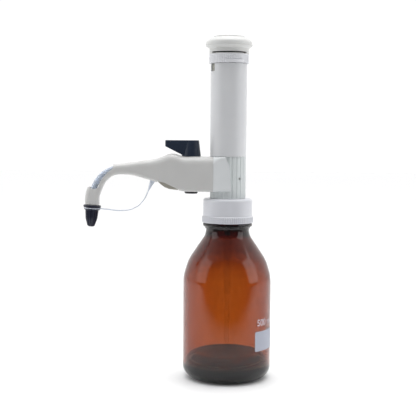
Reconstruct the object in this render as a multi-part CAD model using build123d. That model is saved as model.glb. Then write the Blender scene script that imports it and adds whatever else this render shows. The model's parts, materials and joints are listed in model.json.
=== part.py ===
from build123d import *
import math
import os

# Bottle-top dispenser on its 500 ml bottle.
# Millimetres, +Z up. The origin is the centre of the bottle's foot, on the
# axis of bottle and head. The discharge arm reaches towards -X.

os.makedirs("parts", exist_ok=True)

# Running and seating clearances
fit = 0.05                # shafts and seats that turn or slide in each other
seat_gap = 0.10           # seats of moulded covers
open_gap = 0.20           # faces that pass or meet without touching

# Bottle
bottle_radius = 43.3
bottle_height = 173.6     # foot to rim
bottle_wall = 2.3
bottle_floor = 4.2        # floor above the foot, over the punt
heel_radius = 13.0
punt_radius = 28.0
punt_depth = 2.0
shoulder_z = 100.5        # end of the straight wall
shoulder_mid_radius = 38.3
shoulder_mid_z = 117.0
neck_radius = 21.3
neck_z = 142.0            # foot of the neck
bead_radius = 24.3
bead_z = 149.6
bead_height = 3.8
finish_radius = 20.9      # root of the screw thread
mouth_radius = 15.6

# Seat between bottle and head
gasket_height = 0.6
adapter_flange_radius = 20.4
adapter_flange = 1.4
adapter_boss_radius = 14.0
adapter_boss = 1.8        # height of the boss above the flange
adapter_plug_depth = 12.2
retaining_ring_height = 1.3

# Screw collar
collar_radius = 24.1
collar_edge_radius = 2.6
collar_lip = 1.6
collar_bore_radius = 22.9
knurl_radius = 25.15
knurl_depth = 0.45
knurl_count = 72
knurl_height = 5.6
knurl_rim = 0.9           # plain rim under the knurl
knurl_shoulder = 1.4      # sloping shoulder over it

# Valve block and shroud
shroud_radius = 17.4
shroud_flute = 0.45
shroud_flute_count = 24
shroud_wall = 1.4
deck_z = 217.8            # top of shroud, saddle and lever deck
block_radius = 15.2
spigot_radius = 11.5
spigot_z = 158.0          # lower end of the spigot
channel_radius = 1.5
port_z = 206.0            # height of the discharge channel
return_z = 194.0          # height of the return channel
boss_radius = 6.4
return_boss_radius = 3.2
vent_radius = 0.9
vent_x = 11.0
vent_z = 196.8

# Measuring cylinder, piston and stroke
bore_radius = 11.0
glass_wall = 2.2
stroke = 66.0
piston_height = 14.0
rod_radius = 4.0
cylinder_floor_z = 209.5
guard_wall = 1.2
guard_radius = 15.6
cylinder_cap_height = 4.0

# Outer sleeve, setting ring and knob
sleeve_radius = 17.75
sleeve_wall = 1.4
ring_radius = 19.2
ring_z = 308.0            # lower edge of the setting ring
ring_height = 8.7
ring_wall = 1.2
ring_rib_depth = 0.3
ring_rib_count = 64
ring_web = 3.4
pad_height = 2.6          # raised finger pad on the ring
pad_proud = 0.6
pad_groove = 0.8          # groove over the pad
pad_from = -11.0          # degrees round the ring from -Y
pad_to = 44.0
hub_radius = 9.0
window_height = 7.1
window_near = 38.0        # degrees from -X to the window's near edge
window_far = 8.0          # and to its far edge
drum_radius = 15.9
drum_wall = 1.0
skirt_height = 5.4
slot_height = 1.4
slot_angle = 122.0
knob_radius = 22.95
knob_height = 16.4        # skirt foot to the rim of the insert
insert_radius = 15.3
insert_height = 1.9
insert_proud = 0.9

# Recirculation valve
valve_x = -36.0
turret_radius = 8.2
spindle_radius = 5.05
stem_radius = 3.2
foot_radius = 6.5
foot_height = 3.0
foot_proud = 2.6          # how far the foot stands below the arm
lever_hub_radius = 9.4
lever_hub_top_radius = 7.5
lever_height = 15.7
lever_reach = 25.5        # from the spindle's axis to the lever's tip
lever_tip_height = 6.0
lever_slope_start = 6.0   # from the spindle's axis to the foot of the slope
lever_recess_radius = 10.9
lever_tip_width = 9.0

# Outlet valve
outlet_face_x = -46.0
outlet_valve_radius = 5.4
ball_radius = 2.4
chamber_radius = 2.9
ball_lift = 1.5
spring_wire = 0.35

# Arm
arm_wall = 1.3
arm_root_x = -14.6        # seam between cover and saddle
saddle_end_x = 1.4
saddle_half_width = 18.9
saddle_corner_radius = 10.0
bend_x = -104.4           # centre of the bend
bend_z = 178.0
bend_radius = 28.0        # of the discharge tube's centre line
nozzle_tilt = 3.6         # degrees off the vertical, foot outwards
mouth_z = 170.4           # mouth of the arm
tube_radius = 2.9
tube_bore_radius = 2.0
tube_proud = 13.4         # how far the tube reaches past the arm's mouth

# Nozzle cap and strap
cap_flange_radius = 8.6
cap_flange = 2.6
cap_groove_radius = 5.9
cap_groove = 1.1
cap_collar_radius = 7.6
cap_collar = 1.1
cap_body_radius = 6.45
cap_length = 22.0
cap_rib_count = 12
spout_radius = 4.0
spout_length = 10.0
strap_thickness = 0.9
strap_width = 4.4

# Filling and return tubes
filling_radius = 3.9
filling_wall = 0.95
filling_upper_z = 84.0    # lower end of the upper tube
filling_lower_z = 12.0    # lower end of the lower tube
filling_overlap = 12.0
return_radius = 1.6
return_wall = 0.6
return_x = -9.3
return_length = 30.0

# Heights and radii that follow
gasket_z = bottle_height
flange_z = gasket_z + gasket_height
lip_z = flange_z + adapter_flange
block_z = lip_z + adapter_boss
plug_z = flange_z - adapter_plug_depth
collar_z = bead_z + bead_height + open_gap
collar_top_z = lip_z + collar_lip
sleeve_z = deck_z + open_gap
sleeve_bore = sleeve_radius - sleeve_wall
glass_radius = bore_radius + glass_wall
piston_z = cylinder_floor_z + 0.5
piston_top_z = piston_z + piston_height
glass_top_z = piston_top_z + stroke + 1.0
guard_bore = guard_radius - guard_wall
guard_z = port_z + 2.4
ring_top_z = ring_z + ring_height
skirt_z = ring_top_z + open_gap
knob_top_z = skirt_z + knob_height
insert_z = knob_top_z + insert_proud - insert_height
sleeve_top_z = ring_z - open_gap
head_disc_z = sleeve_top_z - 10.9
head_disc = 3.0
drum_z = head_disc_z + head_disc + 0.6
rod_top_z = skirt_z + skirt_height - 0.3
turret_z = 185.8
turret_top_z = deck_z - 3.3
lever_z = deck_z + open_gap
foot_z = 181.6
knob_web = 4.0


# Shared shapes

def rod(radius, low, high, x=0.0, y=0.0):
    """Upright cylinder between two heights."""
    base = (Align.CENTER, Align.CENTER, Align.MIN)
    return Pos(x, y, low) * Cylinder(radius, high - low, align=base)


def tube(outer, inner, low, high, x=0.0):
    """Upright tube between two heights."""
    return rod(outer, low, high, x) - rod(inner, low - 1, high + 1, x)


def bar(radius, x_from, x_to, z):
    """Round bar along X from one x to a lower one."""
    base = (Align.CENTER, Align.CENTER, Align.MIN)
    return Plane(origin=(x_from, 0, z), z_dir=(-1, 0, 0)) * Cylinder(radius, x_from - x_to, align=base)


def turned(points, radii):
    """Solid turned about Z from a closed outline of (radius, height) corners."""
    outline = FilletPolyline(*[(r, 0, z) for r, z in points], radius=radii, close=True)
    return revolve(make_face(outline.edges()), axis=Axis.Z)


def side_prism(points, radii, half_width):
    """Prism across Y from a closed outline of (x, z) corners."""
    outline = FilletPolyline(*[(x, 0, z) for x, z in points], radius=radii, close=True)
    return extrude(make_face(outline.edges()), amount=half_width, dir=(0, 1, 0), both=True)


def ribbed_rod(tip, depth, count, low, high):
    """Upright rod whose wall has straight ribs all round."""
    points = []
    for rib in range(count):
        for share, radius in ((0.0, tip), (0.42, tip), (0.56, tip - depth), (0.86, tip - depth)):
            angle = 2 * math.pi * (rib + share) / count
            points.append((radius * math.cos(angle), radius * math.sin(angle)))
    face = make_face(Polyline(*points, close=True).edges())
    return Pos(0, 0, low) * extrude(face, amount=high - low)


def inset_corners(points, distance):
    """Corners of an open outline moved to its left by a distance."""
    moved = []
    for index, (x, z) in enumerate(points):
        directions = []
        if index > 0:
            directions.append((x - points[index - 1][0], z - points[index - 1][1]))
        if index < len(points) - 1:
            directions.append((points[index + 1][0] - x, points[index + 1][1] - z))
        normals = []
        for dx, dz in directions:
            length = math.hypot(dx, dz)
            normals.append((-dz / length, dx / length))
        nx = sum(n[0] for n in normals) / len(normals)
        nz = sum(n[1] for n in normals) / len(normals)
        scale = distance / (nx * nx + nz * nz)
        moved.append((x + nx * scale, z + nz * scale))
    return moved


def save(name, shape):
    """Write one piece."""
    export_step(shape, f"parts/{name}.step")


# Bottle and its seat

def bottle():
    wall = [
        (bottle_radius, 0),
        (bottle_radius, shoulder_z),
        (shoulder_mid_radius, shoulder_mid_z),
        (neck_radius, neck_z),
        (neck_radius, bead_z),
    ]
    outer = [(0, 0)] + wall + [
        (bead_radius, bead_z),
        (bead_radius, bead_z + bead_height),
        (finish_radius, bead_z + bead_height),
        (finish_radius, bottle_height),
        (0, bottle_height),
    ]
    outer_radii = [0, heel_radius, 40, 40, 14, 0.8, 1.6, 1.6, 0.8, 1.2, 0]
    inner_wall = inset_corners(wall, bottle_wall)
    inner = [(0, bottle_floor), (inner_wall[0][0], bottle_floor)] + inner_wall[1:3] + [
        (mouth_radius + 1.6, neck_z + 1.5),
        (mouth_radius, bead_z),
        (mouth_radius, bottle_height + 1),
        (0, bottle_height + 1),
    ]
    inner_radii = [0, heel_radius - bottle_wall, 36, 36, 6, 8, 0, 0]
    punt_sphere = (punt_radius ** 2 + punt_depth ** 2) / (2 * punt_depth)
    punt = Pos(0, 0, punt_depth - punt_sphere) * Sphere(punt_sphere)
    return turned(outer, outer_radii) - turned(inner, inner_radii) - punt


def rim_gasket():
    return tube(adapter_flange_radius, mouth_radius, gasket_z, flange_z)


def neck_adapter():
    plug_radius = mouth_radius - 0.4
    outline = [
        (0, plug_z),
        (plug_radius, plug_z),
        (plug_radius, flange_z),
        (adapter_flange_radius, flange_z),
        (adapter_flange_radius, lip_z),
        (adapter_boss_radius, lip_z),
        (adapter_boss_radius, block_z),
        (0, block_z),
    ]
    body = turned(outline, [0, 1.0, 0, 0.4, 0.4, 0, 0.4, 0])
    return body - rod(spigot_radius + fit, plug_z - 1, block_z + 1)


def screw_collar():
    outline = [
        (0, collar_z),
        (collar_radius, collar_z),
        (collar_radius, collar_top_z),
        (0, collar_top_z),
    ]
    body = turned(outline, [0, 0, collar_edge_radius, 0])
    band_z = collar_z + knurl_height
    band = ribbed_rod(knurl_radius, knurl_depth, knurl_count, collar_z, band_z + knurl_shoulder)
    band_outline = [
        (0, collar_z),
        (knurl_radius, collar_z),
        (knurl_radius, band_z),
        (collar_radius - 0.2, band_z + knurl_shoulder),
        (0, band_z + knurl_shoulder),
    ]
    rim_outline = [
        (0, collar_z),
        (knurl_radius, collar_z),
        (knurl_radius, collar_z + knurl_rim),
        (0, collar_z + knurl_rim),
    ]
    body += band & turned(band_outline, [0, 0.4, 0.6, 0, 0])
    body += turned(rim_outline, [0, 0.4, 0, 0])
    body -= rod(collar_bore_radius, collar_z - 1, lip_z)
    return body - rod(adapter_boss_radius + 0.3, lip_z - 1, collar_top_z + 1)


# Valve block

def groove_z():
    """Foot of the groove that holds the retaining ring."""
    return plug_z - seat_gap - retaining_ring_height


def valve_block():
    neck_radius_top = guard_bore - fit
    body = rod(block_radius, block_z, guard_z)
    body += rod(neck_radius_top, guard_z, cylinder_floor_z + 4.0)
    body += rod(spigot_radius, spigot_z, block_z)
    body += bar(boss_radius, -block_radius + 2, outlet_face_x, port_z)
    body += bar(return_boss_radius, -block_radius + 2, valve_x, return_z)
    body += rod(turret_radius, turret_z, turret_top_z, valve_x)
    # Slot in the boss for the guard
    body -= tube(guard_radius + fit, guard_bore - fit, guard_z, port_z + boss_radius + 1.0)
    # Seat of the measuring cylinder and the way up into it
    body -= rod(glass_radius + fit, cylinder_floor_z - 1.0, cylinder_floor_z + 5.0)
    body -= rod(2.0, spigot_z, cylinder_floor_z)
    # Seat of the intake valve
    body -= rod(5.95, spigot_z - 1, spigot_z + 13.0)
    # Groove of the retaining ring
    body -= tube(spigot_radius + 1, spigot_radius - 0.9, groove_z(), plug_z)
    # Discharge channel, return channel and the bore of the spindle
    body -= bar(channel_radius, 0, outlet_face_x - 1, port_z)
    body -= bar(4.15, outlet_face_x + 3.0, outlet_face_x - 1, port_z)
    body -= rod(spindle_radius + fit, turret_z - 1, turret_top_z + 1, valve_x)
    body -= bar(1.0, return_x, valve_x, return_z)
    body -= rod(1.0, spigot_z, return_z + 1.0, return_x)
    body -= rod(return_radius + 0.02, spigot_z - 1, spigot_z + 5.0, return_x)
    return body


def block_retaining_ring():
    low = groove_z() + 0.02
    ring = tube(spigot_radius + 2.0, spigot_radius - 0.85, low, low + retaining_ring_height)
    mouth = Pos(-spigot_radius, 0, low) * Box(8, 5, 6)
    return ring - mouth


def block_shroud():
    body = ribbed_rod(shroud_radius, shroud_flute, shroud_flute_count, block_z, deck_z)
    body -= rod(shroud_radius - shroud_wall, block_z - 1, deck_z + 1)
    low = return_z - return_boss_radius - 1.0
    high = port_z + boss_radius + 1.0
    opening = Pos(-shroud_radius, 0, (low + high) / 2) * Box(16, 2 * boss_radius + 3, high - low)
    vent = Pos(vent_x, -shroud_radius, vent_z) * Rot(90, 0, 0) * Cylinder(vent_radius, 14)
    return body - opening - vent


def cylinder_seal():
    return tube(glass_radius, 4.0, cylinder_floor_z - 1.0, cylinder_floor_z)


def measuring_cylinder():
    outline = [
        (bore_radius, cylinder_floor_z),
        (glass_radius, cylinder_floor_z),
        (glass_radius, glass_top_z),
        (bore_radius, glass_top_z),
    ]
    return turned(outline, [0.4, 0.4, 0.6, 0.6])


def cylinder_cap():
    low = glass_top_z + seat_gap
    body = tube(guard_bore - fit, rod_radius + 0.1, low, low + cylinder_cap_height)
    return body - Pos(8.0, 0, low) * Cylinder(0.8, 20)


def cylinder_guard():
    high = glass_top_z + cylinder_cap_height + 0.6
    return tube(guard_radius, guard_bore, guard_z, high)


# Intake side

intake_flange_z = spigot_z - 5.0
intake_top_z = spigot_z + 12.0
intake_seat_z = spigot_z + 1.0
intake_nipple_z = intake_flange_z - 9.5


def resting_ball_z(seat_z):
    """Centre of a ball on a 45 degree seat that starts at the channel's edge."""
    return seat_z - channel_radius + ball_radius * math.sqrt(2) + 0.03


def intake_valve():
    outline = [
        (0, intake_nipple_z),
        (2.6, intake_nipple_z),
        (filling_radius - filling_wall - fit, intake_nipple_z + 0.8),
        (filling_radius - filling_wall - fit, intake_flange_z),
        (7.4, intake_flange_z),
        (7.4, spigot_z - 1.2),
        (5.9, spigot_z - 1.2),
        (5.9, intake_top_z),
        (0, intake_top_z),
    ]
    body = turned(outline, [0, 0, 0, 0, 0.6, 0.4, 0, 0.4, 0])
    cone = chamber_radius - channel_radius
    hollow = [
        (0, intake_nipple_z - 1),
        (channel_radius, intake_nipple_z - 1),
        (channel_radius, intake_seat_z),
        (channel_radius + cone, intake_seat_z + cone),
        (chamber_radius, intake_seat_z + 8.0),
        (1.8, intake_seat_z + 8.0),
        (1.8, intake_top_z + 1),
        (0, intake_top_z + 1),
    ]
    return body - turned(hollow, 0)


def intake_ball():
    return Pos(0, 0, resting_ball_z(intake_seat_z)) * Sphere(ball_radius)


def intake_seal():
    return tube(7.2, 5.95, spigot_z - 1.2, spigot_z)


def filling_tube_upper():
    return tube(filling_radius, filling_radius - filling_wall, filling_upper_z, intake_flange_z - seat_gap)


def filling_tube_lower():
    outer = filling_radius - filling_wall - 0.08
    body = tube(outer, outer - filling_wall, filling_lower_z, filling_upper_z + filling_overlap)
    slant = Pos(0, 0, filling_lower_z) * Rot(0, 45, 0) * Box(12, 12, 12 / math.sqrt(2) - 2.0)
    return body - Pos(-3.0, 0, -3.0) * slant


def return_tube():
    high = spigot_z + 5.0 - seat_gap
    return tube(return_radius, return_radius - return_wall, high - return_length, high, return_x)


# Recirculation valve

def valve_spindle():
    body = rod(spindle_radius, foot_z + 4.2, lever_z - 0.1, valve_x)
    body += rod(stem_radius, lever_z - 0.1, lever_z + 11.0, valve_x)
    body += rod(2.6, foot_z + 1.0, foot_z + 4.2, valve_x)
    for height in spindle_seal_heights():
        body -= tube(spindle_radius + 1, spindle_radius - 0.95, height, height + 1.9, valve_x)
    body -= bar(channel_radius, valve_x + 8, valve_x - 8, port_z)
    body -= rod(0.8, return_z, port_z, valve_x)
    cross = Pos(valve_x, 0, return_z) * Rot(90, 0, 0) * Cylinder(1.1, 20)
    return body - cross


def spindle_seal_heights():
    return (turret_z + 2.0, return_z + 4.2, turret_top_z - 4.0)


def spindle_seals():
    rings = []
    for height in spindle_seal_heights():
        outline = [
            (spindle_radius - 0.9, height + 0.05),
            (spindle_radius + 0.03, height + 0.05),
            (spindle_radius + 0.03, height + 1.85),
            (spindle_radius - 0.9, height + 1.85),
        ]
        rings.append(Pos(valve_x, 0, 0) * turned(outline, 0.4))
    return Compound(rings)


def spindle_foot():
    outline = [
        (0, foot_z),
        (foot_radius, foot_z),
        (foot_radius, foot_z + foot_height),
        (5.6, foot_z + foot_height),
        (5.6, turret_z - seat_gap),
        (0, turret_z - seat_gap),
    ]
    body = turned(outline, [0, 1.2, 0.3, 0, 0, 0])
    body -= rod(2.65, foot_z + 0.9, foot_z + 4.2)
    body -= rod(spindle_radius + fit, foot_z + 4.15, turret_z)
    return Pos(valve_x, 0, 0) * body


def valve_knob():
    hub_outline = [
        (0, lever_z),
        (lever_hub_radius, lever_z),
        (lever_hub_top_radius, lever_z + lever_height),
        (0, lever_z + lever_height),
    ]
    hub = Pos(valve_x, 0, 0) * turned(hub_outline, [0, 0.4, 0.9, 0])
    tip_x = valve_x - lever_reach
    side = [
        (valve_x, lever_z),
        (valve_x - lever_slope_start, lever_z),
        (tip_x, lever_z + lever_height - lever_tip_height),
        (tip_x, lever_z + lever_height),
        (valve_x, lever_z + lever_height),
    ]
    pointer = side_prism(side, 0, 12)
    tangent_half_width = lever_hub_top_radius - 0.2
    plan = [
        (valve_x, tangent_half_width),
        (tip_x, lever_tip_width / 2),
        (tip_x, -lever_tip_width / 2),
        (valve_x, -tangent_half_width),
    ]
    plan_outline = FilletPolyline(*plan, radius=[0, 1.8, 1.8, 0], close=True)
    plan_prism = extrude(make_face(plan_outline.edges()), amount=lever_height + 4)
    pointer = pointer & (Pos(0, 0, lever_z - 2) * plan_prism)
    top_edges = pointer.edges().filter_by(lambda e: e.center().Z > lever_z + lever_height - 0.01)
    rim = [e for e in top_edges if e.center().X < valve_x - 1]
    pointer = fillet(rim, 0.9)
    knob = hub + pointer
    return knob - rod(stem_radius + fit, lever_z - 1, lever_z + 11.2, valve_x)


# Outlet valve: turned about the discharge channel, lengths measured from the boss outwards

outlet_seat = 2.0
outlet_length = 14.0
outlet_nipple = 5.0
outlet_chamber_end = outlet_length - 2.5
outlet_end_x = outlet_face_x - outlet_length
outlet_ball_place = outlet_seat - channel_radius + ball_radius * math.sqrt(2) + 0.03


def outlet_frame():
    return Plane(origin=(outlet_face_x, 0, port_z), z_dir=(-1, 0, 0))


def outlet_valve():
    outline = [
        (0, -2.9),
        (4.1, -2.9),
        (4.1, 0),
        (boss_radius, 0),
        (boss_radius, 2.5),
        (outlet_valve_radius, 2.5),
        (outlet_valve_radius, outlet_length),
        (tube_bore_radius - fit, outlet_length),
        (tube_bore_radius - fit, outlet_length + outlet_nipple),
        (0, outlet_length + outlet_nipple),
    ]
    cone = chamber_radius - channel_radius
    hollow = [
        (0, -4),
        (channel_radius, -4),
        (channel_radius, outlet_seat),
        (chamber_radius, outlet_seat + cone),
        (chamber_radius, outlet_chamber_end),
        (1.2, outlet_chamber_end),
        (1.2, outlet_length + outlet_nipple + 1),
        (0, outlet_length + outlet_nipple + 1),
    ]
    return outlet_frame() * (turned(outline, [0, 0.3, 0, 0.4, 0.4, 0, 0.6, 0, 0.3, 0]) - turned(hollow, 0))


def outlet_ball():
    return outlet_frame() * Pos(0, 0, outlet_ball_place) * Sphere(ball_radius)


def outlet_spring():
    low = outlet_ball_place + ball_radius * 0.9 + spring_wire
    length = outlet_chamber_end - low - spring_wire - 0.05
    helix = Helix(length / 3.5, length, 1.6)
    profile = Plane(origin=helix @ 0, z_dir=helix % 0) * Circle(spring_wire)
    coil = sweep(profile, path=helix, is_frenet=True)
    return outlet_frame() * Pos(0, 0, low) * coil


# Arm

def arm_plane(x, z, lean):
    """Section plane whose normal leans from -X down towards -Z by an angle."""
    angle = math.radians(lean)
    return Plane(origin=(x, 0, z), x_dir=(0, -1, 0), z_dir=(-math.cos(angle), 0, -math.sin(angle)))


# Straight stations: x, top, foot, half width
arm_stations = [
    (arm_root_x, deck_z, 184.2, 18.0),
    (-26.0, deck_z, 184.1, 17.6),
    (-36.0, deck_z, 184.1, 16.8),
    (-44.5, 218.0, 184.5, 15.8),
    (-51.0, 220.0, 186.2, 14.8),
    (-57.0, 220.3, 188.2, 13.7),
    (-64.0, 217.7, 190.7, 12.2),
    (-72.0, 215.2, 193.6, 10.7),
    (-81.0, 213.9, 196.0, 9.3),
    (-92.0, 212.3, 198.9, 8.0),
    (bend_x, 210.6, 199.8, 7.2),
]
# Stations round the bend: lean, outer and inner distance from its centre, half width
bend_stations = [
    (24.0, 33.2, 21.8, 7.0),
    (46.0, 33.3, 20.9, 6.9),
    (68.0, 33.8, 20.1, 6.9),
    (90.0 - nozzle_tilt, 35.0, 21.0, 7.0),
]
arm_top_radius = 8.0
arm_foot_radius = 2.6
slim_top_radius = 5.2
slim_foot_radius = 4.2


def arm_section(plane, up, down, half_width, blend, inset, top_radius=None):
    """Rounded section of the arm, its corners softer towards the nozzle."""
    if top_radius is None:
        top_radius = arm_top_radius + (slim_top_radius - arm_top_radius) * blend
    foot_radius = arm_foot_radius + (slim_foot_radius - arm_foot_radius) * blend
    side = half_width - inset
    high = up - inset
    low = -down + inset
    corners = [(-side, low), (side, low), (side, high), (-side, high)]
    foot_corner = max(foot_radius - inset, 0.5)
    top_corner = top_radius - inset
    outline = FilletPolyline(*corners, radius=[foot_corner, foot_corner, top_corner, top_corner], close=True)
    return plane * make_face(outline.edges())


def nozzle_point(distance):
    """Point on the nozzle's axis, a distance past the end of the bend."""
    angle = math.radians(90.0 - nozzle_tilt)
    x = bend_x - bend_radius * math.sin(angle) - distance * math.cos(angle)
    z = bend_z + bend_radius * math.cos(angle) - distance * math.sin(angle)
    return x, z


def mouth_distance():
    """Distance from the end of the bend to the arm's mouth."""
    return (nozzle_point(0)[1] - mouth_z) / math.cos(math.radians(nozzle_tilt))


def straight_section(x, station, blend, inset, top_radius=None):
    """Upright section of the arm at any x, with the sizes of one station."""
    _, top, foot, half_width = station
    half_height = (top - foot) / 2
    plane = arm_plane(x, (top + foot) / 2, 0)
    return arm_section(plane, half_height, half_height, half_width, blend, inset, top_radius)


def bend_section(station, past, inset):
    """Section across the bend, or past its end along the nozzle's axis."""
    lean, outer, inner, half_width = station
    angle = math.radians(lean)
    middle = (outer + inner) / 2
    x = bend_x - middle * math.sin(angle) - past * math.cos(angle)
    z = bend_z + middle * math.cos(angle) - past * math.sin(angle)
    half_height = (outer - inner) / 2
    return arm_section(arm_plane(x, z, lean), half_height, half_height, half_width, 1, inset)


def arm_body(inset):
    """The arm's body, lofted through its stations and on past both ends."""
    root = arm_stations[0]
    taper_start = arm_stations[3][0]
    sections = []
    for reach in (30.0, 20.0, 10.0):
        sections.append(straight_section(root[0] + reach, root, 0, inset))
    for station in arm_stations:
        blend = min(max((station[0] - taper_start) / (bend_x - taper_start), 0), 1)
        sections.append(straight_section(station[0], station, blend, inset))
    for station in bend_stations:
        sections.append(bend_section(station, 0, inset))
    for past in (mouth_distance(), mouth_distance() + 9.0):
        sections.append(bend_section(bend_stations[-1], past, inset))
    return loft(sections)


def arm_limits():
    """Prism that ends the arm at its root seam and at its mouth."""
    x, z = nozzle_point(mouth_distance())
    angle = math.radians(nozzle_tilt)
    across = (20 * math.cos(angle), -20 * math.sin(angle))
    corners = [
        (arm_root_x, 150),
        (arm_root_x, 240),
        (-170, 240),
        (x - across[0], z - across[1]),
        (x + across[0], z + across[1]),
        (x + across[0], 150),
    ]
    return side_prism(corners, 0, 40)


# Line of the side walls' lower edge over the belly cover, and the belly's own curve
belly_lip = [(-69.5, 194.2), (-61.5, 192.4), (-55.0, 189.4), (-47.6, 186.0)]
belly_curve = [(-48.6, 185.7), (-53.6, 186.1), (-57.5, 186.6), (-61.4, 188.1), (-65.0, 190.6), (-68.6, 193.9)]


def belly_region(drop):
    """Everything under the lip line, as a prism across the arm."""
    corners = [(x, z - drop) for x, z in belly_lip]
    below = [(corners[-1][0], 178.0), (corners[0][0], 178.0)]
    return side_prism(corners + below, 0, 30)


def bend_window():
    """Opening on the outer side of the bend, where the tube shows."""
    edge = [
        (-112.6, 214.0),
        (-111.8, 206.0),
        (-118.6, 200.8),
        (-123.4, 194.8),
        (-127.2, 186.4),
        (-131.2, 185.3),
        (-136.0, 187.4),
        (-145.0, 188.0),
        (-145.0, 214.0),
    ]
    return side_prism(edge, [0, 1.6, 14, 14, 2.4, 3.0, 0, 0, 0], 30)


def arm_cover():
    body = (arm_body(0) & arm_limits()) - arm_body(arm_wall)
    body -= rod(shroud_radius + seat_gap, arm_stations[0][2] - 2, deck_z + 2)
    body -= belly_region(0)
    body -= bend_window()
    body -= rod(foot_radius + 0.5, 180, 190, valve_x)
    body -= rod(spindle_radius + 0.6, deck_z - 4, deck_z + 4, valve_x)
    # Round deck that the lever turns on, let into the foot of the hump
    body -= rod(lever_recess_radius, deck_z, deck_z + 8, valve_x)
    return body


def arm_belly_cover():
    top = [(x, z + 1.6) for x, z in belly_lip]
    inner = [(x, z) for x, z in belly_curve]
    strip = side_prism([top[-1]] + inner + [top[0]] + top[1:-1], 0, 30)
    keep = arm_body(arm_wall + 0.2)
    plan = []
    for x, _, _, half in arm_stations[3:9]:
        plan.append((x, half - arm_wall - 0.2))
    outline = plan + [(x, -y) for x, y in reversed(plan)]
    prism = Pos(0, 0, 180) * extrude(make_face(Polyline(*outline, close=True).edges()), amount=24)
    low = strip & prism
    inside = low & keep
    bulge = low & belly_region(0.1)
    return bulge + inside


def arm_saddle():
    root = arm_stations[0]
    foot = root[2]
    seam_x = arm_root_x + seat_gap
    wide = (0, deck_z, foot, saddle_half_width)
    nearly_wide = (0, deck_z, foot, saddle_half_width - 0.3)
    sections = [
        straight_section(seam_x, root, 0, 0),
        straight_section(-9.5, nearly_wide, 0, 0, 3.5),
        straight_section(-4.0, wide, 0, 0, 1.6),
        straight_section(saddle_end_x + 3.0, wide, 0, 0, 1.6),
    ]
    body = loft(sections)
    # The cheek's free edge leans out towards its foot and rounds over at the top
    side = [
        (seam_x - 1, foot - 1),
        (saddle_end_x + 1.6, foot - 1),
        (saddle_end_x - 0.6, deck_z - 7.6),
        (saddle_end_x - 4.6, deck_z),
        (seam_x - 1, deck_z),
    ]
    body = body & side_prism(side, [0, 0, saddle_corner_radius, 1.2, 0], 30)
    # Frame that reaches into the cover and joins the two cheeks
    frame_inset = arm_wall + seat_gap
    reach = 5.6
    frame = extrude(straight_section(seam_x + 3, root, 0, frame_inset), amount=reach + 3, dir=(-1, 0, 0))
    hollow_inset = frame_inset + 1.3
    hollow = extrude(straight_section(-4.0, root, 0, hollow_inset), amount=24, dir=(-1, 0, 0))
    return body + frame - hollow - rod(shroud_radius + seat_gap, foot - 2, deck_z + 2)


def discharge_tube():
    angle = 90.0 - nozzle_tilt
    start = (outlet_end_x - seat_gap, 0, port_z)
    top = (bend_x, 0, port_z)
    end_x, end_z = nozzle_point(0)
    last_x, last_z = nozzle_point(mouth_distance() + tube_proud)
    middle = math.radians(angle / 2)
    arc_middle = (bend_x - bend_radius * math.sin(middle), 0, bend_z + bend_radius * math.cos(middle))
    path = Line(start, top) + ThreePointArc(top, arc_middle, (end_x, 0, end_z))
    path += Line((end_x, 0, end_z), (last_x, 0, last_z))
    plane = Plane(origin=start, z_dir=(-1, 0, 0))
    outer = sweep(plane * Circle(tube_radius), path=path)
    return outer - sweep(plane * Circle(tube_bore_radius), path=path)


# Nozzle: pieces turned about the nozzle's axis, heights measured past the arm's mouth

def nozzle_frame():
    x, z = nozzle_point(mouth_distance())
    angle = math.radians(nozzle_tilt)
    return Plane(origin=(x, 0, z), x_dir=(math.cos(angle), 0, -math.sin(angle)),
                 z_dir=(-math.sin(angle), 0, -math.cos(angle)))


def nozzle_tip():
    outline = [
        (0, -4.5),
        (5.15, -4.5),
        (5.15, 0.05),
        (6.5, 0.05),
        (6.5, 0.7),
        (spout_radius, 0.7),
        (spout_radius, spout_length),
        (0, spout_length),
    ]
    body = turned(outline, [0, 0.4, 0, 0.2, 0.2, 0, 0.5, 0])
    body -= rod(tube_radius + fit, -8, spout_length + 2)
    return nozzle_frame() * body


def nozzle_cap():
    flange_s = 0.8
    groove_s = flange_s + cap_flange
    collar_s = groove_s + cap_groove
    body_s = collar_s + cap_collar
    outline = [
        (0, flange_s),
        (cap_flange_radius, flange_s),
        (cap_flange_radius, groove_s),
        (cap_groove_radius, groove_s),
        (cap_groove_radius, collar_s),
        (cap_collar_radius, collar_s),
        (cap_collar_radius, body_s),
        (cap_body_radius - 0.75, body_s),
        (cap_body_radius - 1.45, 14.0),
        (3.1, cap_length),
        (0, cap_length),
    ]
    body = turned(outline, [0, 1.0, 1.0, 0.2, 0, 0.4, 0.4, 0, 9.0, 1.0, 0])
    rib_side = [
        (spout_radius, body_s - 0.1),
        (cap_body_radius, body_s - 0.1),
        (cap_body_radius - 0.65, 14.0),
        (3.6, cap_length - 0.9),
        (2.6, cap_length - 0.9),
        (spout_radius - 0.6, 16.0),
    ]
    rib = side_prism(rib_side, [0, 0, 9.0, 0.5, 0, 0], 0.75)
    for copy in range(cap_rib_count):
        body += Rot(0, 0, 360 * (copy + 0.5) / cap_rib_count) * rib
    body -= rod(spout_radius + fit, flange_s - 1, spout_length + 0.6)
    body -= rod(tube_radius + 0.3, flange_s, cap_length - 2.2)
    return nozzle_frame() * body


# Centre line of the strap, from beside the cap to the arm's underside
strap_route = [
    (-117.5, 165.4),
    (-107.5, 164.2),
    (-96.0, 164.9),
    (-87.0, 169.2),
    (-81.4, 176.2),
    (-77.9, 184.0),
]
strap_root = [(-75.6, 197.0), (-70.2, 195.0)]


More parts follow.
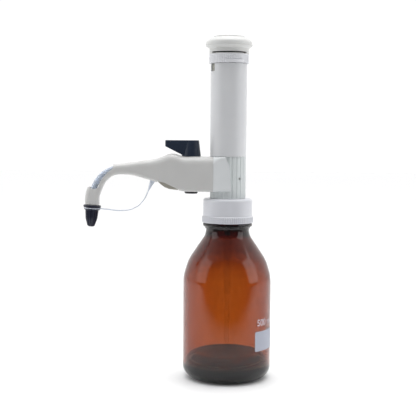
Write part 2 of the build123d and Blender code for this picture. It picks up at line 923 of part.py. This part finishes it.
def cap_strap():
    ring_low = 0.8 + cap_flange + 0.05
    ring_height = cap_groove - 0.1
    ring_outer = cap_collar_radius + 0.3
    ring = nozzle_frame() * tube(ring_outer, cap_groove_radius + 0.1, ring_low, ring_low + ring_height)
    x, z = nozzle_point(mouth_distance() + ring_low + ring_height / 2)
    angle = math.radians(nozzle_tilt)
    start = []
    for reach in (ring_outer - 0.8, ring_outer + 3.0):
        start.append((x + reach * math.cos(angle), z - reach * math.sin(angle)))
    route = start + strap_route
    left = inset_corners(route, strap_thickness / 2)
    right = inset_corners(route, -strap_thickness / 2)
    bends = [10] + [14] * (len(route) - 3)
    radii = [0] + bends + [6, 0, 0, 6] + list(reversed(bends)) + [0]
    band = side_prism(left + strap_root + list(reversed(right)), radii, strap_width / 2)
    return ring + (band - arm_body(-0.05))


# Piston side, all of it rising with the knob

def piston():
    body = rod(bore_radius - fit, piston_z, piston_top_z)
    for low in seal_heights():
        body -= tube(bore_radius + 1, bore_radius - 1.4, low, low + 2.0)
    return body - rod(rod_radius + 0.02, piston_top_z - 8.0, piston_top_z + 1)


def seal_heights():
    return (piston_z + 1.5, piston_z + 5.0)


def piston_seal():
    rings = []
    for low in seal_heights():
        outline = [
            (bore_radius - 1.35, low + 0.05),
            (bore_radius - 0.02, low + 0.05),
            (bore_radius - 0.02, low + 1.95),
            (bore_radius - 1.35, low + 1.95),
        ]
        rings.append(turned(outline, 0.3))
    return Compound(rings)


def piston_rod():
    body = rod(rod_radius, piston_top_z - 8.0, rod_top_z)
    return body - rod(1.8, rod_top_z - 8.0, rod_top_z + 1)


def stop_nut():
    low = glass_top_z + cylinder_cap_height + 0.4
    return tube(hub_radius, rod_radius + 0.02, low, head_disc_z)


def sleeve_head():
    body = rod(sleeve_bore - fit, head_disc_z, head_disc_z + head_disc)
    body += rod(hub_radius, head_disc_z, ring_top_z)
    return body - rod(rod_radius + 0.02, head_disc_z - 1, ring_top_z + 1)


def outer_sleeve():
    outline = [
        (sleeve_bore, sleeve_z),
        (sleeve_radius, sleeve_z),
        (sleeve_radius, sleeve_top_z),
        (sleeve_bore, sleeve_top_z),
    ]
    body = turned(outline, [0, 0.4, 0.3, 0])
    low = ring_z - 0.6 - window_height
    near = math.radians(window_near)
    far = math.radians(window_far)
    reach = sleeve_radius + 8
    corners = [
        (0, 0),
        (-reach * math.cos(near), -reach * math.sin(near)),
        (-reach * math.cos(far), reach * math.sin(far)),
    ]
    wedge = extrude(make_face(Polyline(*corners, close=True).edges()), amount=window_height)
    return body - Pos(0, 0, low) * wedge


def number_drum():
    return tube(drum_radius, drum_radius - drum_wall, drum_z, ring_top_z - ring_web)


def ring_sector(start, end):
    """Wedge over the ring's height between two angles, in degrees round from -Y."""
    corners = [(0, 0)]
    for angle in (start, (start + end) / 2, end):
        turn = math.radians(angle)
        corners.append((40 * math.sin(turn), -40 * math.cos(turn)))
    wedge = extrude(make_face(Polyline(*corners, close=True).edges()), amount=ring_height)
    return Pos(0, 0, ring_z) * wedge


def setting_ring():
    body = ribbed_rod(ring_radius, ring_rib_depth, ring_rib_count, ring_z, ring_top_z)
    band = tube(ring_radius, ring_radius - 1, ring_top_z - 1.0, ring_top_z)
    pad_z = ring_z + 0.3
    pad = tube(ring_radius + pad_proud, ring_radius - 1, pad_z, pad_z + pad_height)
    groove_z_low = pad_z + pad_height
    groove = tube(ring_radius + 2, ring_radius - 0.75, groove_z_low, groove_z_low + pad_groove)
    body = body + band + (pad & ring_sector(pad_from, pad_to))
    body -= groove & ring_sector(pad_from, pad_to - 7.0)
    body -= rod(ring_radius - ring_wall - ring_rib_depth, ring_z - 1, ring_top_z - ring_web)
    return body - rod(hub_radius + fit, ring_z, ring_top_z + 1)


def calibration_nut():
    low = skirt_z + 0.2
    return tube(ring_radius - 2.6, 8.1, low, skirt_z + skirt_height - 0.9)


def top_knob():
    flare_z = skirt_z + skirt_height
    outline = [
        (0, skirt_z),
        (ring_radius, skirt_z),
        (ring_radius, flare_z),
        (knob_radius, flare_z + 2.6),
        (knob_radius - 0.8, knob_top_z - 4.0),
        (insert_radius + 1.0, knob_top_z),
        (0, knob_top_z),
    ]
    body = turned(outline, [0, 0.3, 1.0, 1.5, 4.5, 5.0, 0])
    ceiling_z = skirt_z + skirt_height - 0.7
    body -= tube(ring_radius - 1.6, 8.0, skirt_z - 1, ceiling_z)
    body -= rod(rod_radius + fit, skirt_z - 1, rod_top_z)
    body -= rod(2.1, skirt_z, knob_top_z + 1)
    body -= rod(6.0, rod_top_z + knob_web, knob_top_z + 1)
    body -= rod(insert_radius + seat_gap, insert_z, knob_top_z + 1)
    half = math.radians(slot_angle / 2)
    reach = ring_radius + 10
    corners = [
        (0, 0),
        (-reach * math.sin(half), -reach * math.cos(half)),
        (0, -reach),
        (reach * math.sin(half), -reach * math.cos(half)),
    ]
    wedge = extrude(make_face(Polyline(*corners, close=True).edges()), amount=slot_height)
    slot = (Pos(0, 0, skirt_z + 0.5) * wedge) - rod(10.0, skirt_z, skirt_z + 6)
    return body - slot


def knob_insert():
    outline = [
        (0, insert_z),
        (insert_radius, insert_z),
        (insert_radius, insert_z + insert_height),
        (0, insert_z + insert_height + 0.2),
    ]
    return turned(outline, [0, 0, 0.6, 0])


def knob_screw():
    head_z = rod_top_z + knob_web
    body = rod(3.6, head_z, head_z + 2.4) + rod(1.75, rod_top_z - 7.0, head_z)
    socket = Pos(0, 0, head_z + 1.2) * extrude(RegularPolygon(1.6, 6), amount=3)
    return body - socket


pieces = {
    "bottle": bottle,
    "rim_gasket": rim_gasket,
    "neck_adapter": neck_adapter,
    "screw_collar": screw_collar,
    "valve_block": valve_block,
    "block_retaining_ring": block_retaining_ring,
    "block_shroud": block_shroud,
    "cylinder_seal": cylinder_seal,
    "measuring_cylinder": measuring_cylinder,
    "cylinder_cap": cylinder_cap,
    "cylinder_guard": cylinder_guard,
    "intake_valve": intake_valve,
    "intake_ball": intake_ball,
    "intake_seal": intake_seal,
    "filling_tube_upper": filling_tube_upper,
    "filling_tube_lower": filling_tube_lower,
    "return_tube": return_tube,
    "valve_spindle": valve_spindle,
    "spindle_seals": spindle_seals,
    "spindle_foot": spindle_foot,
    "valve_knob": valve_knob,
    "outlet_valve": outlet_valve,
    "outlet_ball": outlet_ball,
    "outlet_spring": outlet_spring,
    "arm_cover": arm_cover,
    "arm_belly_cover": arm_belly_cover,
    "arm_saddle": arm_saddle,
    "discharge_tube": discharge_tube,
    "nozzle_tip": nozzle_tip,
    "nozzle_cap": nozzle_cap,
    "cap_strap": cap_strap,
    "piston": piston,
    "piston_seal": piston_seal,
    "piston_rod": piston_rod,
    "stop_nut": stop_nut,
    "sleeve_head": sleeve_head,
    "outer_sleeve": outer_sleeve,
    "number_drum": number_drum,
    "setting_ring": setting_ring,
    "calibration_nut": calibration_nut,
    "top_knob": top_knob,
    "knob_insert": knob_insert,
    "knob_screw": knob_screw,
}

for name, make in pieces.items():
    save(name, make())
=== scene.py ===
import json
import math

import bpy
import bmesh
from mathutils import Matrix, Vector


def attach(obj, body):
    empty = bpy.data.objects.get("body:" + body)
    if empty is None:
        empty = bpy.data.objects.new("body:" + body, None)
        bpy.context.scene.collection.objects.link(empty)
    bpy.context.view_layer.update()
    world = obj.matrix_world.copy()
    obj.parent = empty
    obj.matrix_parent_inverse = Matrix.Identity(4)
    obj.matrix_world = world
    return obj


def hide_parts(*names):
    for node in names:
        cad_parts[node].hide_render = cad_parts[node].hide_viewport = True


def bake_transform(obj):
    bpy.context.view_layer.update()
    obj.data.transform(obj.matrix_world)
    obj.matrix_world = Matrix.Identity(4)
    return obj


# Bottle-top dispenser on its amber bottle. Metres in Blender, millimetres in the sizes below.

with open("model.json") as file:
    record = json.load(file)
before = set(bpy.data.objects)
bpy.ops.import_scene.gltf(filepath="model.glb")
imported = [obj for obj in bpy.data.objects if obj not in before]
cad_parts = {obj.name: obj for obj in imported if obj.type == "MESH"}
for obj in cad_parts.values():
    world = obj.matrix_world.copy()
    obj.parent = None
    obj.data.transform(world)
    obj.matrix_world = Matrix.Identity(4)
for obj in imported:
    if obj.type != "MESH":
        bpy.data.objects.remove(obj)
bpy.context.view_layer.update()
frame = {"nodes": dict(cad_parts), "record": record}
nodes = frame["nodes"]
MM = 0.001

# Camera
camera_place = (-19.3, -900.0, 233.85)
camera_tilt = 4.2226
camera_roll = 0.45
focal_pixels = 918.5

# Bottle
bottle_radius = 43.3
bottle_height = 173.6
bottle_wall = 2.3
bottle_floor = 4.2
heel_radius = 13.0
punt_radius = 28.0
punt_depth = 2.0
bead_z = 149.6
bead_height = 3.8
neck_radius = 21.3
neck_z = 142.0
mouth_radius = 15.6
finish_radius = 20.9
bead_radius = 24.3
straight_height = 100.5   # the wall is upright to here
shoulder_radius = 38.3
shoulder_z = 117.0
neck_shade_low = 100.0     # the glass colour is painted darker between these heights, a painted shade for the light lost in the thick neck
neck_shade_high = 128.0

# Enamel on the bottle
panel_edge = -52.0        # degrees round the bottle from +X
panel_width = 44.0
panel_low = 32.0
panel_high = 51.2
panel_corner = 0.8
enamel_proud = 0.04
volume_proud = 0.10
volume_height = 6.6
volume_start = 2.2        # from the panel's edge
volume_base = 56.6

# Studio
floor_size = 6.0
floor_dark_y = -0.36      # the paper is in shade this far in front
floor_white_y = -0.18
floor_shade = 0.10
world_front = (0.14, 0.14, 0.15)
world_strength = 1.06


# Mesh helpers

def add_object(name, mesh):
    thing = bpy.data.objects.new(name, mesh)
    bpy.context.scene.collection.objects.link(thing)
    return thing


def mesh_object(name, points, faces, smooth_angle=35.0):
    """Object from points in millimetres."""
    mesh = bpy.data.meshes.new(name)
    mesh.from_pydata([(x * MM, y * MM, z * MM) for x, y, z in points], [], faces)
    work = bmesh.new()
    work.from_mesh(mesh)
    bmesh.ops.remove_doubles(work, verts=work.verts, dist=1e-6)
    bmesh.ops.recalc_face_normals(work, faces=work.faces)
    work.to_mesh(mesh)
    work.free()
    mesh.shade_smooth()
    mesh.set_sharp_from_angle(angle=math.radians(smooth_angle))
    return add_object(name, mesh)


def rounded(points, radii, step=7.0):
    """Outline with its corners rounded, from (a, b) corners and a radius for each."""
    result = []
    count = len(points)
    for index, (point, radius) in enumerate(zip(points, radii)):
        if radius <= 0:
            result.append(point)
            continue
        here = Vector(point)
        back = (Vector(points[index - 1]) - here).normalized()
        ahead = (Vector(points[(index + 1) % count]) - here).normalized()
        angle = back.angle(ahead)
        reach = radius / math.tan(angle / 2)
        centre = here + (back + ahead).normalized() * (radius / math.sin(angle / 2))
        start = here + back * reach - centre
        turn = math.pi - angle
        if start.x * ahead.y - start.y * ahead.x < 0:
            turn = -turn
        steps = max(2, math.ceil(math.degrees(abs(turn)) / step))
        for number in range(steps + 1):
            spin = Matrix.Rotation(turn * number / steps, 2)
            result.append(tuple(centre + spin @ start))
    return result


def lathe(name, outline, segments=128, smooth_angle=35.0):
    """Closed outline of (radius, height) turned about Z."""
    points = []
    faces = []
    count = len(outline)
    for segment in range(segments):
        angle = 2 * math.pi * segment / segments
        for radius, height in outline:
            points.append((radius * math.cos(angle), radius * math.sin(angle), height))
    for segment in range(segments):
        after = (segment + 1) % segments
        for index in range(count):
            ahead = (index + 1) % count
            corners = [segment * count + index, after * count + index,
                       after * count + ahead, segment * count + ahead]
            if outline[index][0] < 1e-6 and outline[ahead][0] < 1e-6:
                continue
            if outline[index][0] < 1e-6:
                corners = [corners[0], corners[2], corners[3]]
            elif outline[ahead][0] < 1e-6:
                corners = [corners[0], corners[1], corners[2]]
            faces.append(corners)
    return mesh_object(name, points, faces, smooth_angle)


# Materials

def new_material(name):
    material = bpy.data.materials.new(name)
    material.use_nodes = True
    tree = material.node_tree
    shader = tree.nodes["Principled BSDF"]
    return material, tree, shader


def noise(tree, coordinates, scale, detail=3.0, roughness=0.55):
    node = tree.nodes.new("ShaderNodeTexNoise")
    node.inputs["Scale"].default_value = scale
    node.inputs["Detail"].default_value = detail
    node.inputs["Roughness"].default_value = roughness
    tree.links.new(coordinates.outputs["Object"], node.inputs["Vector"])
    return node


def ramp(tree, source, low, high, low_colour, high_colour):
    node = tree.nodes.new("ShaderNodeValToRGB")
    node.color_ramp.elements[0].position = low
    node.color_ramp.elements[1].position = high
    node.color_ramp.elements[0].color = (*low_colour, 1)
    node.color_ramp.elements[1].color = (*high_colour, 1)
    tree.links.new(source, node.inputs["Fac"])
    return node


def moulded(name, colour, roughness, grain=0.02, grain_scale=2600.0, edge_wear_and_highlight=None, soft=0.0):
    """Moulded plastic: slight flow tone, fine grain, and edges painted lighter, part wear and part a
    painted highlight.
    """
    material, tree, shader = new_material(name)
    coordinates = tree.nodes.new("ShaderNodeTexCoord")
    flow = noise(tree, coordinates, 38.0, 2.0)
    darker = [c * 0.95 for c in colour]
    tone = ramp(tree, flow.outputs["Fac"], 0.3, 0.7, darker, colour)
    colour_output = tone.outputs["Color"]
    # Edges painted lighter: part wear, part a painted highlight standing in for light caught on the
    # rounded edges
    if edge_wear_and_highlight is not None:
        bevel = tree.nodes.new("ShaderNodeBevel")
        bevel.samples = 4
        bevel.inputs["Radius"].default_value = 0.0007
        geometry = tree.nodes.new("ShaderNodeNewGeometry")
        compare = tree.nodes.new("ShaderNodeVectorMath")
        compare.operation = "DOT_PRODUCT"
        tree.links.new(bevel.outputs["Normal"], compare.inputs[0])
        tree.links.new(geometry.outputs["Normal"], compare.inputs[1])
        edge = ramp(tree, compare.outputs["Value"], 0.80, 0.97, (1, 1, 1), (0, 0, 0))
        mix = tree.nodes.new("ShaderNodeMix")
        mix.data_type = "RGBA"
        mix.inputs["B"].default_value = (*edge_wear_and_highlight, 1)
        tree.links.new(edge.outputs["Color"], mix.inputs["Factor"])
        tree.links.new(colour_output, mix.inputs["A"])
        colour_output = mix.outputs["Result"]
    tree.links.new(colour_output, shader.inputs["Base Color"])
    fine = noise(tree, coordinates, grain_scale, 2.0)
    low_gloss = [roughness * 0.9] * 3
    high_gloss = [min(1, roughness * 1.12)] * 3
    gloss = ramp(tree, flow.outputs["Fac"], 0.25, 0.75, low_gloss, high_gloss)
    tree.links.new(gloss.outputs["Color"], shader.inputs["Roughness"])
    bump = tree.nodes.new("ShaderNodeBump")
    bump.inputs["Strength"].default_value = 1.0
    bump.inputs["Distance"].default_value = grain * MM
    tree.links.new(fine.outputs["Fac"], bump.inputs["Height"])
    tree.links.new(bump.outputs["Normal"], shader.inputs["Normal"])
    shader.inputs["IOR"].default_value = 1.49
    if soft > 0:
        shader.inputs["Subsurface Weight"].default_value = soft
        shader.inputs["Subsurface Radius"].default_value = (1.0, 0.9, 0.8)
        shader.inputs["Subsurface Scale"].default_value = 0.0015
    return material


def clear(name, colour, roughness=0.05, ior=1.49, wave=0.01):
    """Clear or milky plastic and glass with faint draw lines."""
    material, tree, shader = new_material(name)
    coordinates = tree.nodes.new("ShaderNodeTexCoord")
    wavy = noise(tree, coordinates, 120.0, 2.0)
    tint = ramp(tree, wavy.outputs["Fac"], 0.3, 0.7, [c * 0.97 for c in colour], colour)
    tree.links.new(tint.outputs["Color"], shader.inputs["Base Color"])
    bump = tree.nodes.new("ShaderNodeBump")
    bump.inputs["Distance"].default_value = wave * MM
    tree.links.new(wavy.outputs["Fac"], bump.inputs["Height"])
    tree.links.new(bump.outputs["Normal"], shader.inputs["Normal"])
    shader.inputs["Roughness"].default_value = roughness
    shader.inputs["IOR"].default_value = ior
    shader.inputs["Transmission Weight"].default_value = 1.0
    return material


def milky(name, colour, roughness, clear_share):
    """Translucent tube or strap: part light through, part scattered."""
    material = clear(name, colour, roughness, 1.38, 0.02)
    shader = material.node_tree.nodes["Principled BSDF"]
    shader.inputs["Transmission Weight"].default_value = clear_share
    shader.inputs["Subsurface Weight"].default_value = 0.4
    shader.inputs["Subsurface Radius"].default_value = (1.0, 1.0, 1.0)
    shader.inputs["Subsurface Scale"].default_value = 0.001
    return material


def amber_glass():
    """Brown bottle glass: colour from its thickness, a painted shade darkening the neck, slight waves from
    moulding.
    """
    material, tree, shader = new_material("amber_glass")
    coordinates = tree.nodes.new("ShaderNodeTexCoord")
    waves = noise(tree, coordinates, 26.0, 2.0, 0.5)
    ripple = tree.nodes.new("ShaderNodeBump")
    ripple.inputs["Distance"].default_value = 0.12 * MM
    tree.links.new(waves.outputs["Fac"], ripple.inputs["Height"])
    tree.links.new(ripple.outputs["Normal"], shader.inputs["Normal"])
    polish = ramp(tree, waves.outputs["Fac"], 0.3, 0.7, (0.012,) * 3, (0.03,) * 3)
    tree.links.new(polish.outputs["Color"], shader.inputs["Roughness"])
    # The neck is thicker, and its colour is painted darker with height, a painted shade for the light lost
    # in the thick glass
    place = tree.nodes.new("ShaderNodeSeparateXYZ")
    tree.links.new(coordinates.outputs["Object"], place.inputs["Vector"])
    rise = tree.nodes.new("ShaderNodeMapRange")
    rise.inputs["From Min"].default_value = neck_shade_low * MM
    rise.inputs["From Max"].default_value = neck_shade_high * MM
    tree.links.new(place.outputs["Z"], rise.inputs["Value"])
    painted_neck_shade = ramp(tree, rise.outputs["Result"], 0.0, 1.0, (1.0, 0.97, 0.80), (0.56, 0.42, 0.30))
    tree.links.new(painted_neck_shade.outputs["Color"], shader.inputs["Base Color"])
    shader.inputs["IOR"].default_value = 1.5
    shader.inputs["Transmission Weight"].default_value = 1.0
    volume = tree.nodes.new("ShaderNodeVolumeAbsorption")
    volume.inputs["Color"].default_value = (0.80, 0.56, 0.02, 1)
    volume.inputs["Density"].default_value = 1500.0
    output = tree.nodes["Material Output"]
    tree.links.new(volume.outputs["Volume"], output.inputs["Volume"])
    return material


def steel(name):
    material, tree, shader = new_material(name)
    coordinates = tree.nodes.new("ShaderNodeTexCoord")
    scratch = noise(tree, coordinates, 900.0, 4.0)
    tone = ramp(tree, scratch.outputs["Fac"], 0.3, 0.7, (0.50, 0.50, 0.51), (0.66, 0.66, 0.67))
    tree.links.new(tone.outputs["Color"], shader.inputs["Base Color"])
    gloss = ramp(tree, scratch.outputs["Fac"], 0.3, 0.7, (0.22,) * 3, (0.36,) * 3)
    tree.links.new(gloss.outputs["Color"], shader.inputs["Roughness"])
    shader.inputs["Metallic"].default_value = 1.0
    return material


materials = {
    "amber_glass": amber_glass(),
    "clear_glass": clear("clear_glass", (0.96, 0.98, 0.98), 0.03, 1.5),
    "clear_plastic": clear("clear_plastic", (0.95, 0.97, 0.98), 0.08),
    "wet_tube": clear("wet_tube", (0.97, 0.97, 0.97), 0.05, 1.06),
    "white_gloss": moulded("white_gloss", (0.74, 0.745, 0.74), 0.32, 0.012, soft=0.1),
    "collar_white": moulded("collar_white", (0.65, 0.66, 0.70), 0.30, 0.012, soft=0.1),
    "grey_white": moulded("grey_white", (0.65, 0.69, 0.69), 0.36, 0.015),
    "ring_white": moulded("ring_white", (0.82, 0.83, 0.86), 0.38, 0.02),
    "sleeve_white": moulded("sleeve_white", (0.70, 0.71, 0.725), 0.34, 0.012, soft=0.1),
    "arm_white": moulded("arm_white", (0.60, 0.60, 0.59), 0.33, 0.012, soft=0.1),
    "saddle_white": moulded("saddle_white", (0.74, 0.765, 0.775), 0.36, 0.02),
    "knob_white": moulded("knob_white", (0.70, 0.705, 0.69), 0.36, 0.008, soft=0.1),
    "white_inner": moulded("white_inner", (0.70, 0.70, 0.68), 0.42, 0.02),
    "white_seal": moulded("white_seal", (0.78, 0.78, 0.77), 0.48, 0.02, soft=0.3),
    # The last colour on these two navy finishes lightens their edges, part wear and part painted highlight
    "navy_plastic": moulded("navy_plastic", (0.011, 0.021, 0.042), 0.42, 0.05, 1500.0, (0.05, 0.07, 0.11)),
    "cap_navy": moulded("cap_navy", (0.004, 0.006, 0.022), 0.40, 0.02, 1800.0, (0.015, 0.02, 0.05)),
    "black_plastic": moulded("black_plastic", (0.012, 0.010, 0.011), 0.40, 0.02),
    "beige_plastic": moulded("beige_plastic", (0.36, 0.345, 0.30), 0.42, 0.02),
    "olive_plastic": moulded("olive_plastic", (0.26, 0.26, 0.22), 0.42, 0.02),
    "milky_tube": milky("milky_tube", (0.80, 0.86, 0.96), 0.16, 0.55),
    "milky_strap": milky("milky_strap", (0.80, 0.85, 0.95), 0.30, 0.35),
    "spring_metal": steel("spring_metal"),
    "print_white": moulded("print_white", (0.37, 0.39, 0.46), 0.55, 0.03, 3200.0),
    "print_bright": moulded("print_bright", (0.55, 0.57, 0.64), 0.55, 0.02, 3200.0),
}

# The finish that each carried-over node shows
finishes = {
    "screw_collar": "collar_white",
    "outer_sleeve": "sleeve_white",
    "top_knob": "knob_white",
    "knob_insert": "knob_white",
    "arm_cover": "arm_white",
    "arm_saddle": "saddle_white",
    "nozzle_cap": "cap_navy",
    "filling_tube_upper": "wet_tube",
    "filling_tube_lower": "wet_tube",
    "return_tube": "wet_tube",
}
slots = {part["node"]: part["material_slot"] for part in frame["record"]["subparts"]}


def dress(thing, finish):
    thing.data.materials.clear()
    thing.data.materials.append(materials[finish])


for name, node in nodes.items():
    dress(node, finishes.get(name, slots[name]))
    node.data.shade_smooth()
    node.data.set_sharp_from_angle(angle=math.radians(32))


# Bottle, turned finely, with the glass thick at the heel

def inset_corners(points, distance):
    """Corners of an open outline moved to its left by a distance."""
    moved = []
    for index, point in enumerate(points):
        sides = []
        if index > 0:
            sides.append((Vector(point) - Vector(points[index - 1])).normalized())
        if index < len(points) - 1:
            sides.append((Vector(points[index + 1]) - Vector(point)).normalized())
        normal = Vector((0.0, 0.0))
        for side in sides:
            normal += Vector((-side.y, side.x)) / len(sides)
        moved.append(tuple(Vector(point) + normal * (distance / normal.length_squared)))
    return moved


def fine_bottle():
    wall = [
        (bottle_radius, 0.0),
        (bottle_radius, straight_height),
        (shoulder_radius, shoulder_z),
        (neck_radius, neck_z),
        (neck_radius, bead_z),
    ]
    outer = [(0.0, punt_depth), (punt_radius / 2, punt_depth * 0.75), (punt_radius, 0.0)] + wall + [
        (bead_radius, bead_z),
        (bead_radius, bead_z + bead_height),
        (finish_radius, bead_z + bead_height),
        (finish_radius, bottle_height),
    ]
    outer_radii = [0, 60, 0.8, heel_radius, 40, 40, 14, 0.8, 1.6, 1.6, 0.8, 1.2]
    inner_wall = inset_corners(wall, bottle_wall)
    inner = [
        (mouth_radius, bottle_height),
        (mouth_radius, bead_z),
        (mouth_radius + 1.6, neck_z + 1.5),
        inner_wall[2],
        inner_wall[1],
        (inner_wall[0][0], bottle_floor),
        (0.0, bottle_floor + 1.0),
    ]
    inner_radii = [0.6, 8, 6, 36, 36, heel_radius - bottle_wall, 0]
    outline = rounded(outer + inner, outer_radii + inner_radii, 4.0)
    body = lathe("bottle_glass", outline, 160, 40)
    dress(body, "amber_glass")
    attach(body, "bottle")
    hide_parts("bottle")
    return body


fine_bottle()


# White enamel on the bottle: a writing panel and the volume

def around_bottle(x, y, radius, facing):
    """Point of a flat print wrapped on the bottle: x along the wall, y up."""
    angle = math.radians(facing) + x / radius
    return radius * math.cos(angle), radius * math.sin(angle), y


def enamel_panel(width, low, high, facing):
    radius = bottle_radius + enamel_proud
    corner = panel_corner
    columns = 48
    points = []
    faces = []
    for step in range(columns + 1):
        x = -width / 2 + width * step / columns
        edge = max(0.0, corner - min(x + width / 2, width / 2 - x))
        drop = corner - math.sqrt(max(0.0, corner * corner - edge * edge))
        points.append(around_bottle(x, low + drop, radius, facing))
        points.append(around_bottle(x, high - drop, radius, facing))
    for step in range(columns):
        first = 2 * step
        faces.append([first, first + 2, first + 3, first + 1])
    panel = mesh_object("writing_panel", points, faces, 60)
    dress(panel, "print_white")
    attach(panel, "bottle")
    return panel


def wrapped_text(name, words, height, start, base, radius, facing, finish, body):
    """Lettering wrapped on a wall of some radius. Sizes in millimetres."""
    curve = bpy.data.curves.new(name, "FONT")
    curve.body = words
    curve.size = height * 1.38
    curve.resolution_u = 4
    flat = bpy.data.objects.new(name + "_flat", curve)
    bpy.context.scene.collection.objects.link(flat)
    bpy.context.view_layer.update()
    mesh = bpy.data.meshes.new_from_object(flat.evaluated_get(bpy.context.evaluated_depsgraph_get()))
    bpy.data.objects.remove(flat)
    work = bmesh.new()
    work.from_mesh(mesh)
    bmesh.ops.triangulate(work, faces=work.faces)
    bmesh.ops.subdivide_edges(work, edges=[e for e in work.edges if e.calc_length() > 1.2], cuts=2)
    for vert in work.verts:
        angle = math.radians(facing) + (start + vert.co.x) / radius
        vert.co = Vector((radius * math.cos(angle), radius * math.sin(angle), base + vert.co.y)) * MM
    bmesh.ops.recalc_face_normals(work, faces=work.faces)
    work.to_mesh(mesh)
    work.free()
    mesh.name = name
    thing = add_object(name, mesh)
    dress(thing, finish)
    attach(thing, body)
    return thing


panel_middle = panel_edge + math.degrees(panel_width / 2 / bottle_radius)
enamel_panel(panel_width, panel_low, panel_high, panel_middle)
volume_radius = bottle_radius + volume_proud
wrapped_text("volume_print", "500 ml", volume_height, volume_start, volume_base, volume_radius,
             panel_edge, "print_bright", "bottle")


# Strap in finer facets; the real strap bends when the cap is drawn off

def soft_strap():
    """Strap of the solid in finer facets; on the dispenser it runs from the arm at its root to the cap at
    its ring.
    """
    source = nodes["cap_strap"]
    mesh = source.data.copy()
    mesh.transform(source.matrix_world)
    work = bmesh.new()
    work.from_mesh(mesh)
    bmesh.ops.remove_doubles(work, verts=work.verts, dist=1e-6)
    bmesh.ops.triangulate(work, faces=work.faces)
    for length in (4.0, 2.0):
        long_edges = [edge for edge in work.edges if edge.calc_length() > length * MM]
        bmesh.ops.subdivide_edges(work, edges=long_edges, cuts=1)
        bmesh.ops.triangulate(work, faces=work.faces)
    work.to_mesh(mesh)
    work.free()
    mesh.name = "strap_band"
    mesh.shade_smooth()
    mesh.set_sharp_from_angle(angle=math.radians(32))
    strap = add_object("strap_band", mesh)
    dress(strap, "milky_strap")
    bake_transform(strap)
    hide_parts("cap_strap")


soft_strap()


# Studio

def world_light():
    """White studio: bright behind and beside, weak from the front."""
    world = bpy.data.worlds.new("studio")
    bpy.context.scene.world = world
    world.use_nodes = True
    tree = world.node_tree
    background = tree.nodes["Background"]
    coordinates = tree.nodes.new("ShaderNodeTexCoord")
    split = tree.nodes.new("ShaderNodeSeparateXYZ")
    tree.links.new(coordinates.outputs["Generated"], split.inputs["Vector"])
    shape = tree.nodes.new("ShaderNodeValToRGB")
    elements = shape.color_ramp.elements
    elements[0].position = 0.2
    elements[0].color = (*world_front, 1)
    elements[1].position = 0.58
    elements[1].color = (1.0, 1.0, 1.0, 1)
    shift = tree.nodes.new("ShaderNodeMapRange")
    shift.inputs["From Min"].default_value = -1.0
    shift.inputs["From Max"].default_value = 1.0
    tree.links.new(split.outputs["Y"], shift.inputs["Value"])
    tree.links.new(shift.outputs["Result"], shape.inputs["Fac"])
    tree.links.new(shape.outputs["Color"], background.inputs["Color"])
    background.inputs["Strength"].default_value = world_strength


def softbox(name, place, target, width, height, power, mirrored=True):
    light = bpy.data.lights.new(name, "AREA")
    light.shape = "RECTANGLE"
    light.size = width
    light.size_y = height
    light.energy = power
    thing = bpy.data.objects.new(name, light)
    bpy.context.scene.collection.objects.link(thing)
    thing.location = place
    direction = Vector(target) - Vector(place)
    thing.rotation_euler = direction.to_track_quat("-Z", "Y").to_euler()
    thing.visible_glossy = mirrored
    return thing


def pale_floor():
    size = floor_size
    points = [(-size, -size, 0), (size, -size, 0), (size, size, 0), (-size, size, 0)]
    mesh = bpy.data.meshes.new("floor")
    mesh.from_pydata(points, [], [[0, 1, 2, 3]])
    floor = add_object("floor", mesh)
    material, tree, shader = new_material("floor_paper")
    coordinates = tree.nodes.new("ShaderNodeTexCoord")
    fibre = noise(tree, coordinates, 300.0)
    tone = ramp(tree, fibre.outputs["Fac"], 0.3, 0.7, (0.93, 0.93, 0.93), (0.95, 0.95, 0.95))
    # The paper falls off into shade in front of the picture, which keeps it out of the glass
    place = tree.nodes.new("ShaderNodeSeparateXYZ")
    tree.links.new(coordinates.outputs["Object"], place.inputs["Vector"])
    reach = tree.nodes.new("ShaderNodeMapRange")
    reach.inputs["From Min"].default_value = floor_dark_y
    reach.inputs["From Max"].default_value = floor_white_y
    reach.inputs["To Min"].default_value = floor_shade
    reach.inputs["To Max"].default_value = 1.0
    tree.links.new(place.outputs["Y"], reach.inputs["Value"])
    shade = tree.nodes.new("ShaderNodeVectorMath")
    shade.operation = "SCALE"
    tree.links.new(tone.outputs["Color"], shade.inputs[0])
    tree.links.new(reach.outputs["Result"], shade.inputs["Scale"])
    tree.links.new(shade.outputs["Vector"], shader.inputs["Base Color"])
    shader.inputs["Roughness"].default_value = 0.6
    floor.data.materials.append(material)
    return floor


def overhead_sun(strength, spread):
    """Soft light straight down, which makes the paper as white as the backdrop."""
    light = bpy.data.lights.new("overhead_sun", "SUN")
    light.energy = strength
    light.angle = math.radians(spread)
    thing = bpy.data.objects.new("overhead_sun", light)
    bpy.context.scene.collection.objects.link(thing)
    return thing


world_light()
pale_floor()
overhead_sun(1.0, 50.0)
softbox("overhead", (0.0, 0.15, 1.5), (0.0, 0.0, 0.1), 1.6, 1.6, 9.0)
softbox("left_box", (-1.1, -0.35, 0.6), (0.0, 0.0, 0.2), 0.7, 1.0, 2.0)
softbox("right_box", (1.1, -0.35, 0.6), (0.0, 0.0, 0.2), 0.7, 1.0, 3.0)
softbox("front_fill", (-0.2, -1.5, 0.7), (0.0, 0.0, 0.2), 1.2, 1.2, 5.0, mirrored=False)


def photo_camera():
    data = bpy.data.cameras.new("camera")
    data.sensor_width = 36.0
    data.sensor_fit = "HORIZONTAL"
    data.lens = 36.0 * focal_pixels / 416.0
    data.clip_start = 0.05
    camera = bpy.data.objects.new("camera", data)
    bpy.context.scene.collection.objects.link(camera)
    tilt = Matrix.Rotation(math.radians(90.0 - camera_tilt), 4, "X")
    roll = Matrix.Rotation(math.radians(camera_roll), 4, "Z")
    place = Matrix.Translation(Vector(camera_place) * MM)
    camera.matrix_world = place @ tilt @ roll
    bpy.context.scene.camera = camera


photo_camera()
bpy.context.scene.view_settings.view_transform = "Standard"
